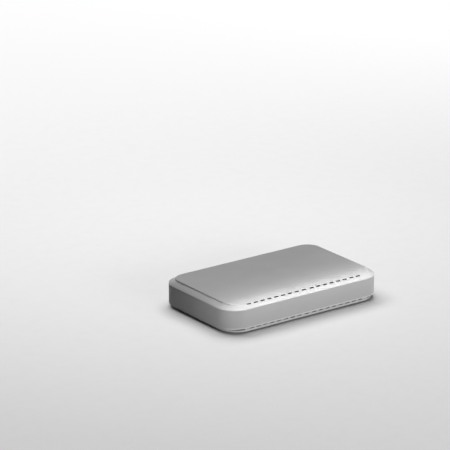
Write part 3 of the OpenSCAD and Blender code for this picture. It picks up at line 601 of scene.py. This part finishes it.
def chip_leads():
    """Bent leads along both sides of the flash chip and the network magnetics."""
    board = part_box("main_board")[1].z
    thickness = 0.0001
    shape = bmesh.new()
    for node, pitch, count, lift in (
        ("flash_chip", 0.0008, 12, 0.0006), ("ethernet_magnetics", 0.0012, 6, 0.0018),
    ):
        low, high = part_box(node)
        middle, half = (low.y + high.y) / 2, pitch * 0.22
        # Way out from the chip's side, and height over the board
        path = [
            (0.0, lift), (0.0004, lift), (0.0007, lift * 0.5), (0.0008, 0.0002), (0.0014, 0.0001),
        ]
        for n in range(count):
            y = middle + (n - (count - 1) / 2) * pitch
            for edge, way in ((low.x, -1), (high.x, 1)):
                rings = []
                for out, z in path:
                    x, under = edge + way * out, board + z
                    rings.append([
                        (x, y - half, under + thickness), (x, y + half, under + thickness),
                        (x, y + half, under), (x, y - half, under),
                    ])
                loft(shape, rings)
    piece("chip_leads", shape, "can_steel")


slot_shade_mesh()
usb_contacts()
hdmi_contacts()
audio_bush()
inlet_spring()
base_label()
chip_leads()


# Stage --------------------------------------------------------------------------------------------

STAGE_GREY = (0.80, 0.80, 0.80)


def staged(name, shape, finish):
    """A thing of the studio, glowing in the stage's grey as strongly as its finish says."""
    made = bpy.data.objects.new(name, bpy.data.meshes.new(name))
    shape.to_mesh(made.data)
    shape.free()
    bpy.context.scene.collection.objects.link(made)
    finish.shader.inputs["Emission Color"].default_value = (*STAGE_GREY, 1)
    made.data.materials.append(finish.material)
    return made


# The floor turns from lit to glowing between half a metre and two metres away, so that it stays
# pale up to its far edge. It throws no light back on the object.
floor_finish = Finish("stage_floor", 0.85)
floor_finish.shader.inputs["Specular IOR Level"].default_value = 0.2
floor_finish.paint(STAGE_GREY)
floor_finish.paint((0.79, 0.79, 0.79), floor_finish.ramp(floor_finish.noise(0.02, 4), 0.4, 0.7))
away = floor_finish.tree.nodes.new("ShaderNodeVectorMath")
away.operation = "LENGTH"
floor_finish.link(floor_finish.place, away.inputs[0])
floor_finish.link(floor_finish.ramp(away.outputs["Value"], 0.5, 2.0),
                  floor_finish.shader.inputs["Emission Strength"])
shape = bmesh.new()
bmesh.ops.create_grid(shape, x_segments=4, y_segments=4, size=8)
floor = staged("floor", shape, floor_finish)
floor.visible_diffuse = False

# A pale backdrop all round, seen past the floor's edge. Only the camera sees it, and it lights
# nothing.
backdrop_finish = Finish("stage_backdrop", 1.0)
backdrop_finish.paint((0, 0, 0))
backdrop_finish.shader.inputs["Emission Strength"].default_value = 1.0
shape = bmesh.new()
bmesh.ops.create_uvsphere(shape, u_segments=48, v_segments=24, radius=11)
backdrop = staged("backdrop", shape, backdrop_finish)
for seen_by in ("diffuse", "glossy", "transmission", "volume_scatter", "shadow"):
    setattr(backdrop, f"visible_{seen_by}", False)


def area_light(name, place, target, width, height, power):
    """A rectangular lamp that the camera doesn't see. Sizes in metres, power in watts."""
    data = bpy.data.lights.new(name, "AREA")
    data.shape = "RECTANGLE"
    data.size = width
    data.size_y = height
    data.energy = power
    lamp = bpy.data.objects.new(name, data)
    lamp.location = place
    lamp.rotation_euler = (Vector(target) - Vector(place)).to_track_quat("-Z", "Y").to_euler()
    lamp.visible_camera = False
    bpy.context.scene.collection.objects.link(lamp)
    return lamp


def floor_link(lamp, state):
    """The lamp lights only the floor (INCLUDE), or all but the floor (EXCLUDE)."""
    group = bpy.data.collections.new(lamp.name + "_receivers")
    group.objects.link(floor)
    lamp.light_linking.receiver_collection = group
    group.collection_objects[0].light_linking.link_state = state


area_light("top", (0.25, 0, 1.4), (0, 0, 0), 0.5, 1.2, 6.3)
# A narrow strip close above the front shoulder lights it brighter than the rest
strip = area_light("strip", (0.04, -0.095, 0.083), (0.04, -0.095, 0), 0.42, 0.012, 0.087)
floor_link(strip, "EXCLUDE")
front = area_light("front", (0.10, -2.0, 0.45), (0, 0, 0.02), 1.3, 0.5, 18.3)
front.visible_glossy = False
rear = area_light("rear", (0.3, 1.6, 0.5), (0, 0, 0.02), 1.0, 0.6, 3.5)
floor_link(rear, "EXCLUDE")
# A small lamp beside the front left corner, so that the left wall darkens towards the back
left = area_light("left", (-0.205, -0.055, 0.035), (-0.13, -0.055, 0.02), 0.02, 0.03, 0.0095)
floor_link(left, "EXCLUDE")
wash = area_light("wash", (0.1, 0.75, 1.3), (0, 0, 0), 2.0, 0.9, 22.0)
floor_link(wash, "INCLUDE")

world = bpy.data.worlds.new("studio")
world.use_nodes = True
world.node_tree.nodes["Background"].inputs["Color"].default_value = (1, 1, 1, 1)
world.node_tree.nodes["Background"].inputs["Strength"].default_value = 0.015
bpy.context.scene.world = world
bpy.context.scene.view_settings.view_transform = "Standard"

# Camera -------------------------------------------------------------------------------------------

AZIMUTH = math.radians(-36.2)
ELEVATION = math.radians(18.85)
DISTANCE = 4.1095
ASIDE = (0.0640, -0.1039)

right = Vector((math.cos(AZIMUTH), math.sin(AZIMUTH), 0))
back = Vector((
    math.sin(AZIMUTH) * math.cos(ELEVATION),
    -math.cos(AZIMUTH) * math.cos(ELEVATION),
    math.sin(ELEVATION),
))
up = back.cross(right)
lens = bpy.data.cameras.new("camera")
lens.lens = 240
lens.sensor_width = 36
lens.clip_end = 40
camera = bpy.data.objects.new("camera", lens)
camera.matrix_world = Matrix((
    (right.x, up.x, back.x, 0), (right.y, up.y, back.y, 0), (right.z, up.z, back.z, 0), (0, 0, 0, 1)
))
camera.location = back * DISTANCE - right * ASIDE[0] - up * ASIDE[1]
bpy.context.scene.collection.objects.link(camera)
bpy.context.scene.camera = camera
